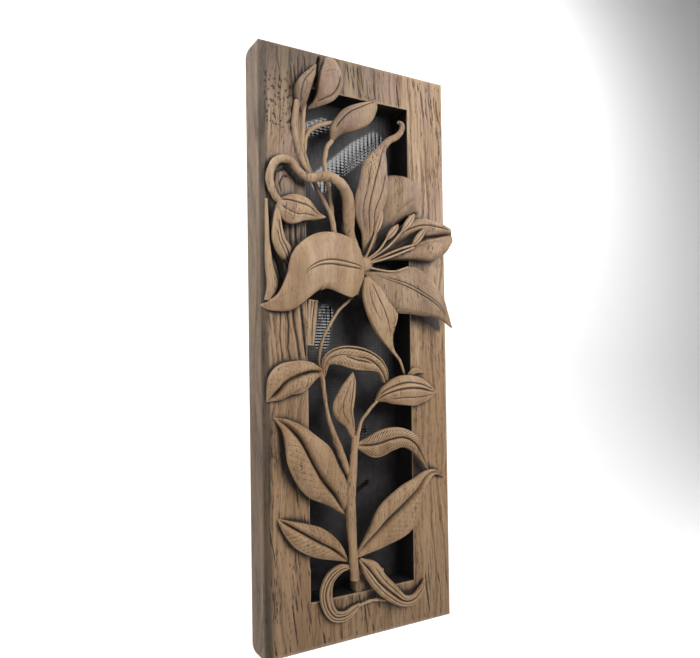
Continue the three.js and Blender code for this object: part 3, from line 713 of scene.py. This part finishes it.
class Graph:
    """Short names for building a node material."""

    def __init__(self, name):
        self.material = bpy.data.materials.new(name)
        self.material.use_nodes = True
        self.tree = self.material.node_tree
        self.shader = self.tree.nodes["Principled BSDF"]

    def feed(self, socket, value):
        """Links another socket into this one, or sets its constant."""
        if isinstance(value, bpy.types.NodeSocket):
            self.tree.links.new(value, socket)
        else:
            socket.default_value = value

    def add(self, kind, inputs, out=0, **settings):
        node = self.tree.nodes.new("ShaderNode" + kind)
        for key, value in settings.items():
            setattr(node, key, value)
        for key, value in inputs.items():
            self.feed(node.inputs[key], value)
        return node.outputs[out]

    def math(self, operation, a, b=0.0):
        return self.add("Math", {0: a, 1: b}, operation=operation)

    def times(self, a, b):
        return self.math("MULTIPLY", a, b)

    def attribute(self, name):
        return self.add("Attribute", {}, out="Fac", attribute_name=name)

    def place(self):
        """Where the point is on the object, in millimetres."""
        at = self.add("TexCoord", {}, out="Object")
        return self.add("VectorMath", {0: at, 1: (1 / MM, 1 / MM, 1 / MM)}, operation="MULTIPLY")

    def noise(self, at, size, detail=2.0, roughness=0.5):
        """Noise from 0 to 1 with features of size (x, y, z) millimetres."""
        scaled = self.add("VectorMath", {0: at, 1: tuple(1 / v for v in size)}, operation="MULTIPLY")
        inputs = {"Vector": scaled, "Scale": 1.0, "Detail": detail, "Roughness": roughness}
        return self.add("TexNoise", inputs)

    def between(self, value, low, high, to_low=0.0, to_high=1.0):
        return self.add("MapRange", {"Value": value, "From Min": low, "From Max": high,
                                     "To Min": to_low, "To Max": to_high}, interpolation_type="SMOOTHSTEP")

    def blend(self, share, a, b, kind="MIX"):
        node = self.tree.nodes.new("ShaderNodeMix")
        node.data_type = "RGBA"
        node.blend_type = kind
        self.feed(node.inputs[0], share)
        for number, value in ((6, a), (7, b)):
            self.feed(node.inputs[number], (*value, 1) if isinstance(value, tuple) else value)
        return node.outputs[2]

    def set(self, **values):
        for key, value in values.items():
            self.feed(self.shader.inputs[key.replace("_", " ")], value)


def srgb(red, green, blue):
    """A colour given as it looks on a screen, 0 to 255, as linear light."""
    return tuple(((v / 255 + 0.055) / 1.055) ** 2.4 for v in (red, green, blue))


LIGHT_OAK = srgb(176, 148, 116)
OAK = srgb(146, 117, 86)
BROWN_OAK = srgb(96, 68, 44)
FLECK = srgb(48, 28, 17)
# Painted shade, laid into hollows, under overhangs and into creases.
PAINTED_SHADE = srgb(27, 18, 14)
ROSY = srgb(150, 122, 108)
UMBER = srgb(128, 94, 56)
PAINT = srgb(17, 13, 13)
BLACK_GLOSS = (0.006, 0.004, 0.005)
DUST = (0.02, 0.015, 0.014)
PALE = (0.88, 0.88, 0.88, 1)


def oak_material():
    """Oak: upright growth rings, short dark pores, painted shade in the cuts and creases, edges lightened by
    wear and painted highlight, the plank's tone with its painted light and shade, and black paint.
    """
    g = Graph("carved_oak")
    at = g.place()
    sway = g.times(g.math("SUBTRACT", g.noise(at, (60, 60, 110), 1), 0.5), 22)
    wander = g.times(g.math("SUBTRACT", g.noise(at, (9, 9, 26), 2), 0.5), 3.4)
    shift = g.add("CombineXYZ", {0: g.math("ADD", sway, wander)})
    grain_at = g.add("VectorMath", {0: at, 1: shift}, operation="ADD")
    x, y, z = (g.add("SeparateXYZ", {0: grain_at}, out=k) for k in range(3))
    across = g.math("ADD", g.times(x, 0.93), g.times(y, 0.37))
    ring_at = g.add("CombineXYZ", {0: across, 1: 0.0, 2: z})
    rings = g.noise(ring_at, (3.4, 5, 120), 3, 0.62)
    broad = g.noise(grain_at, (16, 16, 170), 2)
    fibre = g.noise(grain_at, (0.9, 0.9, 26), 2, 0.6)
    pores = g.noise(grain_at, (0.75, 0.75, 7.5), 1.5, 0.55)
    patches = g.noise(at, (22, 22, 42), 2)
    dark_ring = g.between(rings, 0.46, 0.66)
    colour = g.blend(g.between(broad, 0.32, 0.68), LIGHT_OAK, OAK)
    height_up = g.add("SeparateXYZ", {0: at}, out=2)
    rosy = g.times(g.between(g.noise(at, (14, 14, 60), 2), 0.42, 0.6), 0.55)
    colour = g.blend(g.times(rosy, g.between(height_up, -260.0, -60.0)), colour, ROSY)
    colour = g.blend(g.between(height_up, -120.0, -330.0, 0.0, 0.5), colour, UMBER)
    ring_stain = g.times(dark_ring, g.times(g.attribute("rings"), 0.8))
    colour = g.blend(ring_stain, colour, BROWN_OAK)
    colour = g.blend(g.times(g.between(fibre, 0.45, 0.75), 0.5), colour, BROWN_OAK)
    crowd = g.times(g.between(patches, 0.35, 0.65), g.between(rings, 0.38, 0.6))
    limit = g.math("SUBTRACT", 0.66, g.times(crowd, 0.14))
    fleck = g.times(g.times(g.math("SUBTRACT", pores, limit), 14), g.attribute("fleck"))
    fleck = g.add("Clamp", {0: fleck})
    colour = g.blend(g.times(fleck, 0.85), colour, FLECK)
    # Painted shade where the surroundings close a point in or hang over it.
    hollow = g.attribute("hollow")
    blotch = g.times(g.math("SUBTRACT", g.noise(at, (3, 3, 6), 3), 0.5), 0.25)
    hollow_shade = g.between(g.math("ADD", hollow, blotch), 0.12, 0.55)
    colour = g.blend(g.times(hollow_shade, 0.96), colour, PAINTED_SHADE)
    # Painted shade in concave creases.
    ridge = g.attribute("ridge")
    crease_shade = g.between(ridge, -0.012, -0.12)
    colour = g.blend(g.times(crease_shade, 0.9), colour, PAINTED_SHADE)
    # Convex edges lightened: partly wear, partly painted highlight.
    wear_and_highlight = g.times(g.between(ridge, 0.03, 0.2), 0.6)
    colour = g.blend(wear_and_highlight, colour, LIGHT_OAK)
    # tone carries the plank's painted light and shade, and each carved piece's given tone.
    tone = g.attribute("tone")
    colour = g.blend(1.0, colour, g.add("CombineXYZ", {0: tone, 1: tone, 2: tone}), "MULTIPLY")
    colour = g.blend(g.attribute("paint"), colour, PAINT)
    height = g.math("SUBTRACT", g.times(fibre, 0.5), g.math("ADD", fleck, dark_ring))
    bump = g.add("Bump", {"Height": height, "Strength": 0.55, "Distance": 0.0004})
    roughness = g.math("ADD", g.times(fibre, 0.25), 0.5)
    g.set(Base_Color=colour, Roughness=roughness, Normal=bump, IOR=1.5)
    return g.material


def black_material():
    """Black sheet, dull with dust except where it is clean and glossy."""
    g = Graph("black_gloss_ground")
    at = g.place()
    dust = g.between(g.noise(at, (5, 5, 7), 3), 0.4, 0.75)
    clean = g.attribute("clean")
    dull = g.math("MAXIMUM", g.times(dust, 0.35), g.math("SUBTRACT", 1.0, clean))
    g.set(Base_Color=g.blend(dust, BLACK_GLOSS, DUST),
          Roughness=g.between(dull, 0, 1, 0.13, 0.6), IOR=1.5)
    return g.material


# Stretches of the ground that are wiped clean and glint: each a path of (right, up) and a half width.
CLEAN = [
    ([(-50, 188), (-34, 194), (-22, 199)], 6),
    ([(-26, 148), (-8, 163), (12, 180), (32, 192)], 9),
    ([(-27, 6), (-22, 32)], 7),
    ([(6, -76), (16, -74)], 3),
    ([(-8, -137), (18, -122)], 2),
]


def cleaned(sheet):
    """How clean the ground is, 0 to 1, at each point."""
    x, _, z = spots_of(sheet)
    z = z + ORIGIN_HEIGHT
    clean = np.zeros(len(x))
    for path, width in CLEAN:
        away, _ = distance(x, z, path)
        clean = np.maximum(clean, smoothstep(width + 3, width - 2, away))
    return clean


def mesh_arrays(obj):
    """A mesh's points, their normals, and its edges as pairs of point numbers."""
    mesh = obj.data
    points = np.empty(len(mesh.vertices) * 3, np.float32)
    mesh.vertices.foreach_get("co", points)
    normals = np.empty(len(mesh.vertices) * 3, np.float32)
    mesh.vertex_normals.foreach_get("vector", normals)
    edges = np.empty(len(mesh.edges) * 2, np.int32)
    mesh.edges.foreach_get("vertices", edges)
    return points.reshape(-1, 3).astype(float), normals.reshape(-1, 3).astype(float), edges.reshape(-1, 2)


def spots_of(obj):
    """Where a mesh's points are: right, depth and up from the mount, in millimetres."""
    return mesh_arrays(obj)[0].T / MM


def spread(values, edges, rounds):
    """Values averaged with those at the other ends of the edges."""
    count = len(values)
    degree = np.bincount(edges.ravel(), minlength=count)
    for _ in range(rounds):
        total = (np.bincount(edges[:, 0], values[edges[:, 1]], count)
                 + np.bincount(edges[:, 1], values[edges[:, 0]], count))
        values = 0.5 * values + 0.5 * total / np.maximum(degree, 1)
    return values


def give(obj, **values):
    """Stores values at the mesh's points under their names, for the materials to read."""
    for name, value in values.items():
        layer = obj.data.attributes.new(name, "FLOAT", "POINT")
        layer.data.foreach_set("value", np.broadcast_to(value, len(obj.data.vertices)).astype(np.float32))


def painted(plank):
    """Where the plank is painted black: the walls of the window, the lip and the rebate behind."""
    x, y, z = spots_of(plank)
    z = z + ORIGIN_HEIGHT
    reach = REBATE["lip"] + 0.4
    inside = ((x > OPENING["left"] - reach) & (x < OPENING["right"] + reach)
              & (z > OPENING["bottom"] - reach) & (z < OPENING["top"] + reach))
    return inside * smoothstep(-PLANK["thick"] + 0.9, -PLANK["thick"] + 1.9, y)


def plank_tone(plank):
    """How light the plank is: stained along its left edge; its left side face darker, as painted shade; its
    face lighter to the right and darker at the upper left, the top and the foot, partly its own colour and
    partly painted light and shade.
    """
    x, y, z = spots_of(plank)
    from_corner = np.hypot(x + PLANK["width"] / 2 - 1, y + PLANK["thick"] - 1)
    uneven = 1.2 * noise(np.stack([x, y, z], axis=-1), (3, 3, 30), 50)
    edge_stain = 0.86 * smoothstep(6.5, 2.5, from_corner + uneven)
    # Painted shade: the left side face is darkened as if turned from the light.
    side = smoothstep(-PLANK["width"] / 2 + 1, -PLANK["width"] / 2, x) * smoothstep(-30, -26, y)
    face = smoothstep(-28, -33, y)
    # Partly the wood's own colour, partly painted light and shade: lighter to the right, darker at the upper
    # left, the top and the foot.
    light_corner = smoothstep(10, 90, x) * smoothstep(-330, -60, z)
    left_top = smoothstep(10, -60, x) * smoothstep(-200, -20, z)
    top = smoothstep(-40, 20, z) * smoothstep(70, 0, x)
    low = smoothstep(-380, -440, z)
    tone = 1 - 0.5 * side + face * (0.06 * light_corner - 0.24 * left_top - 0.4 * top - 0.2 * low)
    return np.clip(tone - edge_stain, 0.25, 1.3)


def height_map(pieces, cell):
    """The frontmost height in front of the panel's face, on a grid of square cells, in millimetres."""
    every = np.concatenate([mesh_arrays(obj)[0] for obj in pieces]) / MM
    low = every[:, [0, 2]].min(0) - 2 * cell
    column, row = (np.floor((every[:, [0, 2]] - low) / cell).astype(int)).T
    nothing = -99.0
    heights = np.full((column.max() + 3, row.max() + 3), nothing)
    np.maximum.at(heights, (column, row), -every[:, 1] - PLANK["thick"])
    for _ in range(2):
        grown = heights.copy()
        for axis, step in itertools.product((0, 1), (-1, 1)):
            grown = np.maximum(grown, np.roll(heights, step, axis))
        heights = np.where(heights == nothing, grown, heights)
    return heights, low


# hollow and ridge feed the oak material's painted shade in hollows and creases; ridge also feeds its
# lightened edges.
def hollows(pieces, everything, cell=0.8):
    """Gives each piece hollow, how far its surroundings close a point in, and ridge, how it curves."""
    heights, low = height_map(everything, cell)
    directions = 14
    turns = np.arange(directions) * 2 * math.pi / directions
    for obj in pieces:
        points, normals, edges = mesh_arrays(obj)
        x, y, z = points.T / MM
        own = -y - PLANK["thick"]

        def over(dx, dz):
            i = np.clip(((x + dx - low[0]) / cell).astype(int), 0, heights.shape[0] - 1)
            j = np.clip(((z + dz - low[1]) / cell).astype(int), 0, heights.shape[1] - 1)
            return heights[i, j] - own

        inside = (abs(x) < PLANK["width"] / 2 - 1) & (abs(z + ORIGIN_HEIGHT) < PLANK["height"] / 2 - 1)
        closed = np.zeros(len(points))
        for turn in turns:
            slope = np.zeros(len(points))
            for reach in (1.6, 2.6, 4, 6.5, 10, 16):
                rise = over(reach * math.cos(turn), reach * math.sin(turn)) - 0.5
                slope = np.maximum(slope, rise / reach)
            closed += slope * slope / (1 + slope * slope) / len(turns)
        covered = smoothstep(1.2, 5, over(0, 0))
        hollow = spread(np.maximum(closed, 0.8 * covered) * (inside | (own > 0)), edges, 2)
        ab = points[edges[:, 1]] - points[edges[:, 0]]
        length = np.maximum(np.linalg.norm(ab, axis=1), 1e-6)
        count = len(points)
        bend = (np.bincount(edges[:, 0], -(normals[edges[:, 0]] * ab).sum(1) / length, count)
                + np.bincount(edges[:, 1], (normals[edges[:, 1]] * ab).sum(1) / length, count))
        bend = bend / np.maximum(np.bincount(edges.ravel(), minlength=count), 1)
        give(obj, hollow=hollow, ridge=spread(bend, edges, 1))


# ---- stage, light and camera -----------------------------------------

def make_stage():
    """A pale floor well below the hanging panel, swept up behind it."""
    floor_z, back_y, radius = -0.95, 1.6, 0.7
    arc = [(back_y - radius + radius * math.sin(a), floor_z + radius - radius * math.cos(a))
           for a in np.linspace(0, math.pi / 2, 16)]
    profile = [(-4.0, floor_z)] + arc + [(back_y, 3.5)]
    points = [(x, y, z) for y, z in profile for x in (-5.0, 5.0)]
    faces = [(2 * i, 2 * i + 1, 2 * i + 3, 2 * i + 2) for i in range(len(profile) - 1)]
    mesh = bpy.data.meshes.new("floor")
    mesh.from_pydata(points, [], faces)
    mesh.polygons.foreach_set("use_smooth", [True] * len(faces))
    floor = bpy.data.objects.new("floor", mesh)
    bpy.context.scene.collection.objects.link(floor)
    material = bpy.data.materials.new("pale_floor")
    material.use_nodes = True
    shader = material.node_tree.nodes["Principled BSDF"]
    shader.inputs["Base Color"].default_value = PALE
    shader.inputs["Roughness"].default_value = 0.9
    floor.data.materials.append(material)


def area_light(name, location, target, size, power, colour=(1, 1, 1)):
    data = bpy.data.lights.new(name, "AREA")
    data.shape = "RECTANGLE"
    data.size, data.size_y = size
    data.energy = power
    data.color = colour
    light = bpy.data.objects.new(name, data)
    light.location = location
    light.rotation_euler = (Vector(target) - Vector(location)).to_track_quat("-Z", "Y").to_euler()
    bpy.context.scene.collection.objects.link(light)
    return light


def make_light():
    world = bpy.data.worlds.new("studio")
    world.use_nodes = True
    world.node_tree.nodes["Background"].inputs["Color"].default_value = (1, 1, 1, 1)
    world.node_tree.nodes["Background"].inputs["Strength"].default_value = 0.22
    bpy.context.scene.world = world
    area_light("key", (0.34, -0.8, 0.14), (0.03, 0, -0.18), (0.5, 0.55), 7.6)
    area_light("fill", (-0.9, -1.2, 0.25), (0, 0, -0.23), (1.0, 1.4), 4.5)
    area_light("backdrop_left", (-1.0, 0.25, 1.0), (0, 1.6, -0.2), (1.5, 1.5), 34)
    area_light("backdrop_right", (1.6, 0.25, 1.0), (1.2, 1.6, -0.2), (1.5, 1.5), 34)


def make_camera():
    """The viewpoint: left of the panel at mid height, looking to the right along it."""
    yaw, pitch, roll = (math.radians(a) for a in (-30.27, 0.91, 0.82))
    data = bpy.data.cameras.new("camera")
    data.lens = 33.43  # millimetres on the 36 mm sensor
    data.sensor_width = 36
    data.shift_y = 0.0323  # share of the sensor's width
    camera = bpy.data.objects.new("camera", data)
    facing = Matrix.Rotation(yaw, 4, "Z") @ Matrix.Rotation(pitch, 4, "X") @ Matrix.Rotation(roll, 4, "Y")
    look_along_y = Matrix.Rotation(math.pi / 2, 4, "X")
    camera.matrix_world = Matrix.Translation((-0.2944, -0.5163, -0.2421)) @ facing @ look_along_y
    bpy.context.scene.collection.objects.link(camera)
    bpy.context.scene.camera = camera
    bpy.context.scene.view_settings.view_transform = "Standard"


# ---- the scene -------------------------------------------------------

make_camera()
make_stage()
make_light()

oak = oak_material()
carving = make_carving()
plank = board()
backing = ground_board()
hollows([plank] + carving, [plank, backing] + carving)
for piece in [plank] + carving:
    give(piece, paint=painted(piece) if piece == plank else 0.0)
    if piece == plank:
        give(piece, tone=plank_tone(piece), fleck=1.0, rings=1.0)
    for name, usual in (("tone", 1.0), ("fleck", 0.8), ("rings", 0.3)):
        if name not in piece.data.attributes:
            give(piece, **{name: usual})
    piece.data.materials.append(oak)
    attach(piece, "root")
    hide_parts("carved_oak_panel")

give(backing, clean=cleaned(backing))
backing.data.materials.append(black_material())
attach(backing, "root")
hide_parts("backing_panel")
